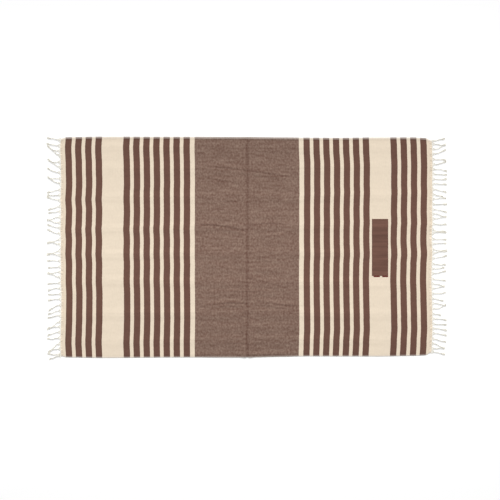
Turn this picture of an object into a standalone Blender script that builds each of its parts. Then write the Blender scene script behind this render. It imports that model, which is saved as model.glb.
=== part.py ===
"""Hammam towel lying face up on the plane z = 0, one unit per metre.

X runs along the towel and Y across it. The woven cloth is one thin closed sheet with its
centre fold line and low wrinkles. A fringe of knotted warp ends lies at each end, its roots
fused into a narrow strip, and a plain cloth patch lies on the face near the right end.
"""

import math

import bmesh
import bpy

MM = 0.001

# The cloth, measured from its centre fold line and from the middle of its width.
LEFT_LENGTH = 842.5 * MM
RIGHT_LENGTH = 834.3 * MM
HALF_WIDTH = 498 * MM
CLOTH_THICK = 1.2 * MM
HEM_THICK = 1.6 * MM
HEM_WIDTH = 10 * MM
HEM_STEP = 5 * MM

# Grid of the cloth's solid: columns crowd towards the centre fold, rows are even.
COLUMNS_A_HALF = 17
COLUMN_CROWDING = 1.3
CORNER_COLUMN = 28 * MM
ROWS = 58

# Space kept between neighbouring pieces.
GAP = 0.3 * MM

# How far each long side lies in from HALF_WIDTH, along the towel: the right half is narrower
# and the corners are drawn in. All in millimetres.
SIDE_INSETS = (
    # along, far side, near side
    (-842, 8.0, 5.0),
    (-816, 1.0, 0.0),
    (-660, -1.5, -2.5),
    (-300, -0.5, 0.0),
    (0, 0.5, -0.8),
    (160, 2.0, 2.5),
    (270, 3.0, 5.0),
    (405, 4.0, 4.5),
    (600, 2.0, 4.2),
    (755, 2.0, 7.0),
    (807, 5.0, 9.0),
    (834, 16.0, 20.0),
)

# How far the weft threads at the two ends stray towards +X, across the towel, in millimetres.
WEFT_DRIFT = (
    # across, left end, right end
    (498, 0.0, -2.5),
    (448, -3.0, 0.0),
    (366, 0.0, 2.0),
    (286, 1.5, 1.0),
    (245, 0.0, 2.0),
    (217, -2.0, 1.0),
    (163, 1.0, 0.0),
    (109, -0.5, 1.5),
    (82, -2.0, -0.5),
    (28, 0.5, -1.5),
    (-30, -1.5, 1.5),
    (-80, 1.0, -1.5),
    (-150, 0.0, -3.0),
    (-216, 2.5, -1.0),
    (-325, 1.5, 1.0),
    (-366, 0.0, 2.0),
    (-433, -2.0, -1.0),
    (-498, 1.0, -4.0),
)

# The centre fold line: a narrow trough between two low shoulders.
FOLD_CREST = 9 * MM
FOLD_FOOT = 34 * MM
FOLD_RISE = 3.0 * MM

# Creases of the relaxed cloth, each a low ridge between two places, in millimetres.
# The first eight run from end to end, the others cross the middle panel.
CREASES = (
    # start along, start across, end along, end across, sideways bow, rise, spread
    (-850, 227, 850, 236, -9, 1.6, 30),
    (-850, 76, 850, 92, 8, 1.8, 32),
    (-850, -40, 850, -34, 8, 1.6, 30),
    (-850, -148, 850, -160, -7, 1.7, 32),
    (-850, -306, 850, -311, 8, 1.8, 34),
    (-850, 352, 850, 363, -8, 1.4, 36),
    (-850, -430, 850, -424, 6, 1.3, 30),
    (-850, 452, 850, 446, -5, 1.2, 26),
    (-201, 366, 238, 312, 3, 2.2, 24),
    (-216, 327, -88, 293, -5, 1.6, 20),
    (-118, 236, 12, 230, 0, 1.4, 20),
    (-130, 204, -24, 207, 1, 1.4, 18),
    (-216, 101, -4, 69, 7, 2.4, 26),
    (-34, 89, 214, 92, 15, 1.8, 24),
    (-88, -8, 202, -60, -8, 1.6, 22),
    (-33, -134, 214, -199, 3, 2.0, 24),
    (-187, -212, 129, -207, 7, 1.6, 22),
    (-214, -273, 12, -258, 9, 2.0, 22),
    (36, -242, 240, -266, -7, 2.3, 24),
    (-169, -311, 57, -331, 10, 1.4, 18),
    (-100, -442, 42, -446, 6, 1.4, 20),
)

# Low rolls beside the long sides, in millimetres: side, start and end along, rise, how far its
# crest lies in from the side, and its spread.
EDGE_ROLLS = (
    (-1, -60, 240, 2.2, 15, 14.5),
    (-1, -300, -20, 0.9, 13, 12.5),
    (1, -420, 330, 0.6, 31, 18),
)

# Slow swells of the whole cloth: height, waves a metre along and across, and phase.
SWELLS = (
    (0.9 * MM, 1.30, 1.10, 0.4),
    (0.7 * MM, 0.55, -1.90, 2.1),
    (0.5 * MM, 2.30, 0.60, 4.0),
)
SWELL_FLOOR = 0.8 * MM

# The patch, a plain strip of cloth on the wide plain band at the right.
PATCH_MIDDLE = (599.6 * MM, -1.3 * MM)
PATCH_WIDTH = 73.5 * MM
PATCH_LENGTH = 257.5 * MM
PATCH_THICK = 1.0 * MM
PATCH_CALM = 40 * MM

# The strips that hold the fringes' roots, the first and last root in from a strip's ends, and
# the first and last gap between roots as shares of the others.
STRIP_WIDTH = 2.5 * MM
LEFT_ROOT_MARGINS = (6.8 * MM, 3.4 * MM)
RIGHT_ROOT_MARGINS = (3.6 * MM, 7.0 * MM)
LEFT_END_GAPS = (1.0, 0.25)
RIGHT_END_GAPS = (0.6, 0.6)

# Strands of the fringes from the far side to the near one: how far the tips of neighbouring
# strands lie towards +Y of their roots and how far they reach out, in millimetres, and the share
# of their length at which they meet, or 0 where they stay apart.
LEFT_LOCKS = (
    # leans, reach, meeting share
    ((11, 11), 60, 0),
    ((28, 50), 57, 0.65),
    ((14, 37), 57, 0.72),
    ((23,), 61, 0),
    ((10, 28), 59, 0.92),
    ((-15, 0, 16), 60, 0),
    ((-18, -7), 55, 0),
    ((-12, 8), 60, 0.88),
    ((14, 18), 57, 0),
    ((-18, 6), 60, 0.68),
    ((-21, 3), 61, 0.62),
    ((0,), 61, 0),
    ((-7,), 57, 0),
    ((-7, 19), 59, 0.72),
    ((-5, -10), 58, 0),
    ((-3, -5), 59, 0),
    ((-28,), 55, 0),
    ((-19, -11), 59, 0),
    ((-35, -12), 60, 0.68),
    ((-16, -5), 58, 0),
    ((-42, -19), 53, 0.72),
    ((2,), 59, 0),
    ((-17,), 51, 0),
)
RIGHT_LOCKS = (
    # leans, reach, meeting share
    ((12,), 58, 0),
    ((2, 18), 60, 0.85),
    ((20,), 60, 0),
    ((-5, 12), 60, 0),
    ((-10, -3, 1, -2), 64, 0),
    ((-15,), 62, 0),
    ((-12,), 46, 0),
    ((4,), 60, 0),
    ((-1, -15), 66, 0),
    ((-11, 9), 62, 0.85),
    ((-2,), 62, 0),
    ((-15, 7), 63, 0.4),
    ((-3, 2), 64, 0),
    ((-7, 14), 65, 0.55),
    ((15,), 65, 0),
    ((-4,), 62, 0),
    ((6,), 56, 0),
    ((11, -9), 63, 0),
    ((-8, 6), 57, 0.95),
    ((6,), 61, 0),
    ((-11,), 50, 0),
    ((-3, 12), 61, 0.95),
    ((-9,), 38, 0),
    ((-8, -5, -9, -9), 63, 0),
    ((-16,), 61, 0),
    ((-20, -3), 56, 0.85),
    ((-14,), 60, 0),
)
STRAND_BOW = 2.2 * MM
BOW_PITCH = 10.5 * MM
MEETING_RUN = 0.55
MEETING_SPACING = 7.0 * MM
STRAND_GAP = 1.6 * MM

# A strand from root to tip: share of its length, half its width and its height.
# It lies on z = 0, thickens at its knot and ends in a flat tuft.
ROOT_HALF = 2.5 * MM
STRAND_RINGS = (
    (0.14, 1.5 * MM, 2.2 * MM),
    (0.40, 1.4 * MM, 2.4 * MM),
    (0.64, 1.4 * MM, 2.4 * MM),
    (0.71, 2.6 * MM, 4.2 * MM),
    (0.78, 1.7 * MM, 2.6 * MM),
    (0.93, 3.0 * MM, 2.2 * MM),
    (1.00, 2.2 * MM, 1.4 * MM),
)

# Colours as linear RGB, and roughness.
STRIPED_COTTON = ((0.42, 0.33, 0.26), 0.9)
CREAM_COTTON = ((0.80, 0.71, 0.59), 0.9)
BROWN_COTTON = ((0.165, 0.084, 0.063), 0.92)


def smooth_step(share):
    share = min(max(share, 0.0), 1.0)
    return share * share * (3.0 - 2.0 * share)


def read_table(rows, at, column):
    """Smooth value of a column of a millimetre table at a place in metres."""
    rows = sorted(rows)
    place = at / MM
    if place <= rows[0][0]:
        return rows[0][column] * MM
    for before, after in zip(rows, rows[1:]):
        if place <= after[0]:
            share = smooth_step((place - before[0]) / (after[0] - before[0]))
            return (before[column] + (after[column] - before[column]) * share) * MM
    return rows[-1][column] * MM


def weft_drift(side, across):
    """How far the weft strays towards +X at the left (-1) or right (+1) end."""
    return read_table(WEFT_DRIFT, across, 1 if side < 0 else 2)


def side_edge(side, along):
    """Y of the cloth's near (-1) or far (+1) long side at a place along the towel."""
    if side > 0:
        return HALF_WIDTH - read_table(SIDE_INSETS, along, 1)
    return read_table(SIDE_INSETS, along, 2) - HALF_WIDTH


def ridge(distance, spread):
    """Round ridge of height 1 that falls to nothing at the spread."""
    return max(0.0, 1.0 - (distance / spread) ** 2) ** 2


def fold_height(x):
    """Two shoulders beside the centre fold line, steep on the side that faces it."""
    distance = abs(x)
    inner = min(distance / FOLD_CREST, 1.0) ** 1.2
    outer = smooth_step((FOLD_FOOT - distance) / (FOLD_FOOT - FOLD_CREST))
    return FOLD_RISE * inner * outer


def crease_height(x, y, crease):
    start_x, start_y, end_x, end_y, bow, rise, spread = [value * MM for value in crease]
    share = (x - start_x) / (end_x - start_x)
    if not 0.0 < share < 1.0:
        return 0.0
    middle = start_y + (end_y - start_y) * share + bow * math.sin(math.pi * share)
    fade = math.sin(math.pi * share) ** 0.5
    return rise * fade * ridge(y - middle, spread)


def roll_height(x, y):
    """Height of the rolls beside the long sides."""
    height = 0.0
    for side, start, end, rise, crest, spread in EDGE_ROLLS:
        share = (x / MM - start) / (end - start)
        if 0.0 < share < 1.0:
            inside = side * (side_edge(side, x) - y)
            fade = math.sin(math.pi * share) ** 0.7
            height = max(height, rise * MM * fade * ridge(inside - crest * MM, spread * MM))
    return height


def swell_height(x, y):
    height = 0.0
    for rise, along, across, phase in SWELLS:
        height += rise * math.sin(2.0 * math.pi * (along * x + across * y) + phase)
    return max(0.0, height - SWELL_FLOOR)


def patch_calm(x, y):
    """0 under the patch, where the cloth lies flat, rising to 1 a little way around it."""
    over_x = abs(x - PATCH_MIDDLE[0]) - PATCH_WIDTH / 2
    over_y = abs(y - PATCH_MIDDLE[1]) - PATCH_LENGTH / 2
    return smooth_step((max(over_x, over_y) - PATCH_CALM / 2) / PATCH_CALM)


def cloth_lift(x, y):
    """Height of the cloth's underside above the surface it lies on."""
    cubes = fold_height(x) ** 3 + sum(crease_height(x, y, crease) ** 3 for crease in CREASES)
    height = cubes ** (1.0 / 3.0) + swell_height(x, y) + roll_height(x, y)
    return height * patch_calm(x, y)


def new_object(name, mesh_data, material):
    mesh = bpy.data.meshes.new(name)
    mesh_data.normal_update()
    mesh_data.to_mesh(mesh)
    mesh_data.free()
    mesh.materials.append(material)
    made = bpy.data.objects.new(name, mesh)
    bpy.context.scene.collection.objects.link(made)
    return made


def cotton(name, colour, roughness):
    material = bpy.data.materials.new(name)
    material.use_nodes = True
    shader = material.node_tree.nodes["Principled BSDF"]
    shader.inputs["Base Color"].default_value = (*colour, 1.0)
    shader.inputs["Roughness"].default_value = roughness
    shader.inputs["Metallic"].default_value = 0.0
    return material


def closed_sheet(undersides, thicknesses):
    """Closed sheet from a grid of underside points and the thickness above each."""
    sheet = bmesh.new()
    lower = [[sheet.verts.new(point) for point in column] for column in undersides]
    upper = []
    for column, thicks in zip(undersides, thicknesses):
        tops = [(x, y, z + thick) for (x, y, z), thick in zip(column, thicks)]
        upper.append([sheet.verts.new(point) for point in tops])
    last_column = len(lower) - 1
    last_row = len(lower[0]) - 1
    for i in range(last_column):
        for j in range(last_row):
            sheet.faces.new((upper[i][j], upper[i + 1][j], upper[i + 1][j + 1], upper[i][j + 1]))
            sheet.faces.new((lower[i][j], lower[i][j + 1], lower[i + 1][j + 1], lower[i + 1][j]))
    for i in range(last_column):
        sheet.faces.new((lower[i][0], lower[i + 1][0], upper[i + 1][0], upper[i][0]))
        sheet.faces.new((upper[i][-1], upper[i + 1][-1], lower[i + 1][-1], lower[i][-1]))
    for j in range(last_row):
        sheet.faces.new((upper[0][j], upper[0][j + 1], lower[0][j + 1], lower[0][j]))
        sheet.faces.new((lower[-1][j], lower[-1][j + 1], upper[-1][j + 1], upper[-1][j]))
    return sheet


def column_shares():
    """Places of the columns as shares of each half's length, from -1 to 1."""
    crest, foot = FOLD_CREST / RIGHT_LENGTH, FOLD_FOOT / RIGHT_LENGTH
    corner = 1.0 - CORNER_COLUMN / RIGHT_LENGTH
    half = [crest, foot]
    for step in range(1, COLUMNS_A_HALF):
        half.append(foot + (corner - foot) * (step / COLUMNS_A_HALF) ** COLUMN_CROWDING)
    half += [corner, 1.0]
    return [-share for share in reversed(half)] + [0.0] + half


def row_places(near, far):
    """Places of the rows from the near side to the far one, with the hems' two lines."""
    hem_lines = (0.0, HEM_WIDTH, HEM_WIDTH + HEM_STEP)
    inner_near = near + hem_lines[-1]
    inner_far = far - hem_lines[-1]
    rows = [near + line for line in hem_lines]
    rows += [inner_near + (inner_far - inner_near) * step / ROWS for step in range(1, ROWS)]
    rows += [far - line for line in reversed(hem_lines)]
    return rows


def row_thickness(row, row_count):
    rows_from_side = min(row, row_count - 1 - row)
    return HEM_THICK if rows_from_side < 2 else CLOTH_THICK


def cloth_grid():
    """Underside points of the cloth, column by column from the left end."""
    grid = []
    for share in column_shares():
        along = share * (RIGHT_LENGTH if share > 0 else LEFT_LENGTH)
        column = []
        for y in row_places(side_edge(-1, along), side_edge(1, along)):
            drift = weft_drift(-1, y) if share < 0 else weft_drift(1, y)
            x = along + drift * abs(share)
            column.append((x, y, cloth_lift(x, y)))
        grid.append(column)
    return grid


def make_cloth(grid, material):
    row_count = len(grid[0])
    column_thicks = [row_thickness(row, row_count) for row in range(row_count)]
    sheet = closed_sheet(grid, [column_thicks] * len(grid))
    return new_object("cloth", sheet, material)


def end_x(end_column, y):
    """X of the cloth's end at a place across it, on the straight edges of its solid."""
    for (low_x, low_y, _), (high_x, high_y, _) in zip(end_column, end_column[1:]):
        if y <= high_y:
            return low_x + (high_x - low_x) * (y - low_y) / (high_y - low_y)
    return end_column[-1][0]


def make_patch(material):
    middle_x, middle_y = PATCH_MIDDLE
    bottom = CLOTH_THICK + GAP
    undersides = []
    for x in (middle_x - PATCH_WIDTH / 2, middle_x, middle_x + PATCH_WIDTH / 2):
        ends = (middle_y - PATCH_LENGTH / 2, middle_y + PATCH_LENGTH / 2)
        undersides.append([(x, y, bottom) for y in (ends[0], middle_y, ends[1])])
    thicknesses = [[PATCH_THICK] * len(column) for column in undersides]
    return new_object("patch", closed_sheet(undersides, thicknesses), material)


def root_places(side, count, near_y, far_y):
    """Places of a fringe's roots across the cloth, from the far side to the near one."""
    margins = LEFT_ROOT_MARGINS if side < 0 else RIGHT_ROOT_MARGINS
    gaps = [1.0] * (count - 1)
    gaps[0], gaps[-1] = LEFT_END_GAPS if side < 0 else RIGHT_END_GAPS
    spacing = (far_y - margins[0] - near_y - margins[1]) / sum(gaps)
    places = [far_y - margins[0]]
    for gap in gaps:
        places.append(places[-1] - gap * spacing)
    return places


def free_y(root_y, lean, share):
    """Y along a strand that no other strand draws aside."""
    bow = STRAND_BOW * math.sin(root_y / BOW_PITCH)
    return root_y + lean * share ** 1.5 + bow * math.sin(math.pi * share)


def strand_y(lock, number, meet, share):
    """Y along a strand of a lock, whose strands run side by side from the meeting share on."""
    free = free_y(*lock[number], share)
    if not meet:
        return free
    middle = sum(free_y(*strand, share) for strand in lock) / len(lock)
    beside = ((len(lock) - 1) / 2 - number) * MEETING_SPACING
    drawn = smooth_step((share - meet) / MEETING_RUN + 1.0)
    return free + drawn * (middle + beside - free)


def place_at(strand, distance):
    """Y and half the width of a strand at a distance out from its root, or at its tip."""
    root_y, reach, ring_ys = strand
    before = (0.0, root_y, ROOT_HALF)
    for (share, half_width, _), ring_y in zip(STRAND_RINGS, ring_ys):
        after = (reach * share, ring_y, half_width)
        if distance <= after[0]:
            part = (distance - before[0]) / (after[0] - before[0])
            return [start + (end - start) * part for start, end in zip(before[1:], after[1:])]
        before = after
    return before[1:]


def keep_apart(strands):
    """Draw each strand towards the near side where it would touch the one before it."""
    for before, (_, reach, ring_ys) in zip(strands, strands[1:]):
        for ring, (share, half_width, _) in enumerate(STRAND_RINGS):
            beside_y, beside_half = place_at(before, reach * share)
            limit = beside_y - beside_half - half_width - STRAND_GAP
            ring_ys[ring] = min(ring_ys[ring], limit)


def fringe_strands(side, near_y, far_y):
    """Root, reach and the Y of each ring of every strand, from the far side to the near one."""
    rows = LEFT_LOCKS if side < 0 else RIGHT_LOCKS
    count = sum(len(leans) for leans, _, _ in rows)
    places = iter(root_places(side, count, near_y, far_y))
    strands = []
    for leans, reach, meet in rows:
        lock = [(next(places), lean * MM) for lean in leans]
        for number, (root_y, _) in enumerate(lock):
            ring_ys = [strand_y(lock, number, meet, share) for share, _, _ in STRAND_RINGS]
            strands.append((root_y, reach * MM, ring_ys))
    keep_apart(strands)
    return strands


def add_strand(fringe, root_ring, root_x, reach, ring_ys):
    """Pull a four-sided strand out of a root face, whose corners are given in ring order."""
    ring = root_ring
    for (share, half_width, height), y in zip(STRAND_RINGS, ring_ys):
        x = root_x + reach * share
        corners = ((y - half_width, 0.0), (y + half_width, 0.0),
                   (y + half_width, height), (y - half_width, height))
        next_ring = [fringe.verts.new((x, corner_y, z)) for corner_y, z in corners]
        for k in range(4):
            fringe.faces.new((ring[k], ring[k - 3], next_ring[k - 3], next_ring[k]))
        ring = next_ring
    fringe.faces.new(ring)


def strip_section(fringe, end_column, side, y):
    """Four corners of the strip across the towel's end, clear of the cloth's edge."""
    inner = end_x(end_column, y) + side * GAP
    outer = inner + side * STRIP_WIDTH
    corners = ((inner, 0.0), (outer, 0.0), (outer, CLOTH_THICK), (inner, CLOTH_THICK))
    return [fringe.verts.new((x, y, z)) for x, z in corners]


def strip_stations(end_column, strands):
    """Places along a strip, from the far side: at each root's edges and the cloth's rows."""
    stations = [end_column[-1][1], end_column[0][1]]
    for root_y, _, _ in strands:
        stations += [root_y + ROOT_HALF, root_y - ROOT_HALF]
    for _, row_y, _ in end_column[1:-1]:
        if all(abs(row_y - root_y) > ROOT_HALF + GAP for root_y, _, _ in strands):
            stations.append(row_y)
    return sorted(stations, reverse=True)


def make_fringe(side, name, end_column, material):
    """Strip along one end of the cloth with its strands pulled out of the outer face."""
    strands = fringe_strands(side, end_column[0][1], end_column[-1][1])
    strand_below = {strand[0] + ROOT_HALF: strand for strand in strands}
    stations = strip_stations(end_column, strands)

    fringe = bmesh.new()
    sections = [strip_section(fringe, end_column, side, y) for y in stations]
    fringe.faces.new(sections[0])
    fringe.faces.new(list(reversed(sections[-1])))
    for number, (here, there) in enumerate(zip(sections, sections[1:])):
        strand = strand_below.get(stations[number])
        for k in range(4):
            if k != 1 or strand is None:
                fringe.faces.new((here[k], there[k], there[k - 3], here[k - 3]))
        if strand is not None:
            _, reach, ring_ys = strand
            root_x = (here[1].co.x + there[1].co.x) / 2
            root_ring = (there[1], here[1], here[2], there[2])
            add_strand(fringe, root_ring, root_x, side * reach, ring_ys)
    bmesh.ops.recalc_face_normals(fringe, faces=fringe.faces)
    return new_object(name, fringe, material)


def centre_on_origin(pieces):
    """Move the meshes so that z = 0 holds the middle of their common bounding box."""
    points = [vertex.co for piece in pieces for vertex in piece.data.vertices]
    shift_x = -(min(point.x for point in points) + max(point.x for point in points)) / 2
    shift_y = -(min(point.y for point in points) + max(point.y for point in points)) / 2
    for piece in pieces:
        for vertex in piece.data.vertices:
            vertex.co.x += shift_x
            vertex.co.y += shift_y


def main():
    for old in list(bpy.data.objects):
        bpy.data.objects.remove(old, do_unlink=True)
    cream = cotton("cream_cotton", *CREAM_COTTON)
    grid = cloth_grid()
    pieces = [
        make_cloth(grid, cotton("striped_cotton", *STRIPED_COTTON)),
        make_fringe(-1, "fringe_left", grid[0], cream),
        make_fringe(1, "fringe_right", grid[-1], cream),
        make_patch(cotton("brown_cotton", *BROWN_COTTON)),
    ]
    centre_on_origin(pieces)


main()
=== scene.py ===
"""Looks of a hammam towel that lies face up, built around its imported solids. One unit is a metre.

The cloth, its two fringes and the patch are modelled here on the places and folds of the
solids that they stand for. Places are first worked out on the towel itself, along from its
centre fold line and across from the middle of its width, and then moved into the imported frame.
"""

import math
from functools import partialmethod

import bpy
import numpy as np
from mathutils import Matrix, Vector, noise


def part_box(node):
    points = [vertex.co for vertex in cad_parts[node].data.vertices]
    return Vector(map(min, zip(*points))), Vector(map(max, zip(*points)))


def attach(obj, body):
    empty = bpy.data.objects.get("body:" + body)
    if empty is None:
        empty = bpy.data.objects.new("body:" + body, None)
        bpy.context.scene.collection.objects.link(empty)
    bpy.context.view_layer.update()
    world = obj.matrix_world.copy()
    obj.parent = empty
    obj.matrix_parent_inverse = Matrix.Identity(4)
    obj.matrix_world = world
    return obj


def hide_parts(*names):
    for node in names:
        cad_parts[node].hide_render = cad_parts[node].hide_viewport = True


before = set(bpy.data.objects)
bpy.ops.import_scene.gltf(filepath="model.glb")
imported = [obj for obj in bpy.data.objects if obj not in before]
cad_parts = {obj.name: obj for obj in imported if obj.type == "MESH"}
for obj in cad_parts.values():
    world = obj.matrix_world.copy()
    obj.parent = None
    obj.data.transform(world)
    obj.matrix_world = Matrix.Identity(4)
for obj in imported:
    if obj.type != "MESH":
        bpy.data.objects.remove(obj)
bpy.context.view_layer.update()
MM = 0.001

# The cloth, measured from its centre fold line and from the middle of its width.
LEFT_LENGTH = 842.5 * MM
RIGHT_LENGTH = 834.3 * MM
HALF_WIDTH = 498 * MM
CLOTH_THICK = 1.2 * MM
HEM_THICK = 1.6 * MM
HEM_WIDTH = 10 * MM
HEM_STEP = 5.0 * MM
RIM_ROUNDING = 0.8 * MM
RIM_DROP = 0.6 * MM

# Grid of the cloth: columns are fine at the fold, in the panel and at the ends, rows are even.
FOLD_COLUMN = 1.2 * MM
END_COLUMN = 2.0 * MM
PANEL_COLUMN = 12.5 * MM
WIDEST_COLUMN = 34 * MM
COLUMN_GROWTH = 1.25
ROW_SPACING = 2.35 * MM

# How far each long side lies in from HALF_WIDTH, along the towel, in millimetres.
SIDE_INSETS = (
    # along, far side, near side
    (-842, 8.0, 5.0),
    (-816, 1.0, 0.0),
    (-660, -1.5, -2.5),
    (-300, -0.5, 0.0),
    (0, 0.5, -0.8),
    (160, 2.0, 2.5),
    (270, 3.0, 5.0),
    (405, 4.0, 4.5),
    (600, 2.0, 4.2),
    (755, 2.0, 7.0),
    (807, 5.0, 9.0),
    (834, 16.0, 20.0),
)

# How far the weft threads stray towards +X, across the towel, in millimetres.
WEFT_DRIFT = (
    # across, outer left, inner left, inner right, outer right
    (498, 0.0, -1.0, -3.5, -2.5),
    (448, -3.0, -2.5, -2.5, 0.0),
    (366, 0.0, 0.0, 2.0, 2.0),
    (286, 1.5, 1.0, 1.5, 1.0),
    (245, 0.0, -0.5, 2.5, 2.0),
    (217, -2.0, 0.0, 1.0, 1.0),
    (163, 1.0, 0.5, 0.0, 0.0),
    (109, -0.5, -0.5, 1.0, 1.5),
    (82, -2.0, -2.0, 0.0, -0.5),
    (28, 0.5, 0.0, 0.0, -1.5),
    (-30, -1.5, -1.0, 1.5, 1.5),
    (-80, 1.0, 0.5, -1.0, -1.5),
    (-150, 0.0, -1.0, -2.0, -3.0),
    (-216, 2.5, 1.0, -1.0, -1.0),
    (-325, 1.5, 2.0, 1.0, 1.0),
    (-366, 0.0, 1.0, 1.5, 2.0),
    (-433, -2.0, -1.0, -2.0, -1.0),
    (-498, 1.0, 0.0, -4.5, -4.0),
)
# Where along each half those four columns hold, as shares of its length, from the fold.
OUTER_SHARE = 0.88
INNER_SHARE = 0.48

# The centre fold line: a narrow trough between two low shoulders, where the cloth is pressed.
FOLD_CREST = 9 * MM
FOLD_FOOT = 34 * MM
FOLD_RISE = 3.0 * MM
FOLD_CURVE = 1.2
FOLD_PRESSED = 0.35 * MM

# Creases of the relaxed cloth, in millimetres: each is a low ridge between two places, with a
# narrow trough along its top. The first eight run along the towel, the others cross its panel.
CREASES = (
    # start along, start across, end along, end across, bow, rise, spread, trough, its spread
    (-850, 227, 850, 236, -9, 1.6, 30, 0.3, 7.0),
    (-850, 76, 850, 92, 8, 1.8, 32, 0.3, 7.0),
    (-850, -40, 850, -34, 8, 1.6, 30, 0.3, 7.5),
    (-850, -148, 850, -160, -7, 1.7, 32, 0.3, 7.0),
    (-850, -306, 850, -311, 8, 1.8, 34, 0.3, 7.0),
    (-850, 352, 850, 363, -8, 1.4, 36, 0.3, 7.0),
    (-850, -430, 850, -424, 6, 1.3, 30, 0.3, 7.0),
    (-850, 452, 850, 446, -5, 1.2, 26, 0.3, 6.5),
    (-201, 366, 238, 312, 3, 2.2, 24, 1.4, 7.0),
    (-216, 327, -88, 293, -3, 1.6, 20, 1.6, 7.0),
    (-100, 310, 24, 288, 0, 1.2, 18, 0.6, 6.0),
    (-178, 426, -33, 423, 0, 1.2, 20, 0.4, 8.0),
    (-118, 236, 12, 230, 0, 1.4, 20, 0.5, 6.0),
    (-130, 204, -24, 207, 1, 1.4, 18, 0.9, 6.0),
    (-192, 141, -70, 129, 0, 1.2, 18, 0.4, 7.0),
    (48, 137, 170, 144, 0, 1.2, 18, 0.4, 7.0),
    (-216, 101, -4, 69, 7, 2.4, 26, 2.2, 7.5),
    (-34, 89, 214, 92, 15, 1.8, 24, 0.9, 7.0),
    (57, 51, 183, 51, 0, 1.2, 18, 0.4, 6.0),
    (-200, -17, -79, -9, 0, 1.2, 18, 0.5, 6.0),
    (-88, -8, 202, -60, -8, 1.6, 22, 0.7, 6.5),
    (-178, -76, -33, -107, 0, 1.2, 18, 0.5, 6.5),
    (-33, -107, 179, -96, 0, 1.2, 18, 0.4, 6.5),
    (-33, -134, 214, -199, 3, 2.0, 24, 1.2, 6.5),
    (-187, -212, 129, -207, 7, 1.6, 22, 0.8, 6.5),
    (-214, -273, 12, -258, 9, 2.0, 22, 1.3, 6.5),
    (-205, -270, -104, -274, 0, 1.4, 18, 0.7, 6.0),
    (36, -242, 240, -266, -7, 2.3, 24, 1.5, 7.5),
    (12, -290, 202, -296, 0, 1.2, 18, 0.5, 6.0),
    (-169, -311, 57, -331, 10, 1.4, 18, 0.7, 6.0),
    (-205, -364, 205, -366, 0, 1.4, 26, 0.4, 9.0),
    (-100, -442, 42, -446, 6, 1.4, 20, 1.0, 6.0),
)
# How far a crease sways and how uneven its trough is, on waves that start differently in each.
CREASE_SWAY = 1.2 * MM
CREASE_UNEVEN = 0.2
CREASE_WAVE = 64 * MM
CREASE_PHASE = 3 * MM
# Widths of a trough's far and near sides, as shares of its spread.
STEEP_SHARE = 0.65
GENTLE_SHARE = 1.5
# Depth of a trough at which the painted shade along it is full, and how wide that painted shade is.
FULL_SHADE_DEPTH = 1.5 * MM
CREASE_SHADE_SPREAD = 8.5 * MM

# Low rolls beside the long sides, in millimetres, each with its crest a little way in.
EDGE_ROLLS = (
    # side, start along, end along, rise, crest in from the side, spread
    (-1, -60, 240, 2.2, 15, 14.5),
    (-1, -300, -20, 0.9, 13, 12.5),
    (1, -420, 330, 0.6, 31, 18),
)
ROLL_CURVE = 0.7

# Slow swells of the whole cloth: height, waves a metre along and across, and phase.
SWELLS = (
    (0.9 * MM, 1.30, 1.10, 0.4),
    (0.7 * MM, 0.55, -1.90, 2.1),
    (0.5 * MM, 2.30, 0.60, 4.0),
)
SWELL_FLOOR = 0.8 * MM

# Small unevenness of the face: its height, and its length along and across.
RIPPLES = (
    (0.22 * MM, 60 * MM, 38 * MM),
    (0.10 * MM, 22 * MM, 13 * MM),
)
RIPPLE_LAYER = 7.3

# The stripes, measured from the fold line, the same on both halves.
PANEL_HALF = 236 * MM
STRIPE_WIDTH = 28.9 * MM
STRIPE_PITCH = 45 * MM
STRIPE_GROUPS = (
    # start of the first stripe, number of stripes
    (257.0 * MM, 7),
    (652.4 * MM, 4),
)
STRIPE_SOFTNESS = 0.7 * MM
STRIPE_WANDER = 1.6 * MM
# How much longer the halves lie than they were woven.
LEFT_STRETCH = 1.0060
RIGHT_STRETCH = 0.9935

# Pale rims of the long sides, and loosely woven ends.
FAR_SELVEDGE = 7.5 * MM
NEAR_SELVEDGE = 4.5 * MM
SELVEDGE_SOFTNESS = 5.0 * MM
LOOSE_END = 9 * MM
LOOSE_SOFTNESS = 6.0 * MM

# Lines on the cloth, each with its middle, half its width and the softness of its sides: painted
# shade along the fold line, painted shade beside the hems, stitches on the hems, a stitch of them
# in its pitch, and by the ends.
FOLD_SHADE_LINE = (-1.2 * MM, 5.2 * MM, 8.0 * MM)
HEM_SHADE = (11.5 * MM, 2.5 * MM, 4.0 * MM)
STITCH_LINE = (8.2 * MM, 0.4 * MM, 0.3 * MM)
STITCH_DASH = (0.5, 0.32, 0.1)
STITCH_PITCH = 3.4 * MM
LAST_WEFT = (LOOSE_END, 3.0 * MM, 5.0 * MM)

# The patch, a plain strip of cloth on the wide plain band at the right, turned in at its edge.
PATCH_MIDDLE = (599.6 * MM, -1.3 * MM)
PATCH_WIDTH = 73.5 * MM
PATCH_LENGTH = 257.5 * MM
PATCH_CALM = 40 * MM
PATCH_LIFT = 0.08 * MM
PATCH_THICK = 0.72 * MM
PATCH_RIM = 1.2 * MM
PATCH_RIM_THICK = 0.25 * MM
PATCH_TURNING = 5 * MM
TURNING_THICK = 0.3 * MM
TURNING_STEP = 1.0 * MM
TURNING_SOFTNESS = 8.0 * MM
PATCH_COLUMN = 3.0 * MM
PATCH_ROW = 1.6 * MM
# Its unevenness: height and length of its waves, how far they bend and over what length; the
# pucker between its stitches; how far its long edges stray and over what length.
PATCH_WAVE = (0.10 * MM, 9 * MM, 1.3, 31 * MM)
PATCH_PUCKER = 0.12 * MM
PATCH_STRAY = (0.25 * MM, 13 * MM)

# Sewing of the patch, and the two bars of thread at its near edge.
SEWING_IN = 2.6 * MM
SEWING_PITCH = 4.6 * MM
SEWING_STITCH = 3.0 * MM
SEWING_THREAD = 0.32 * MM
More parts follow.
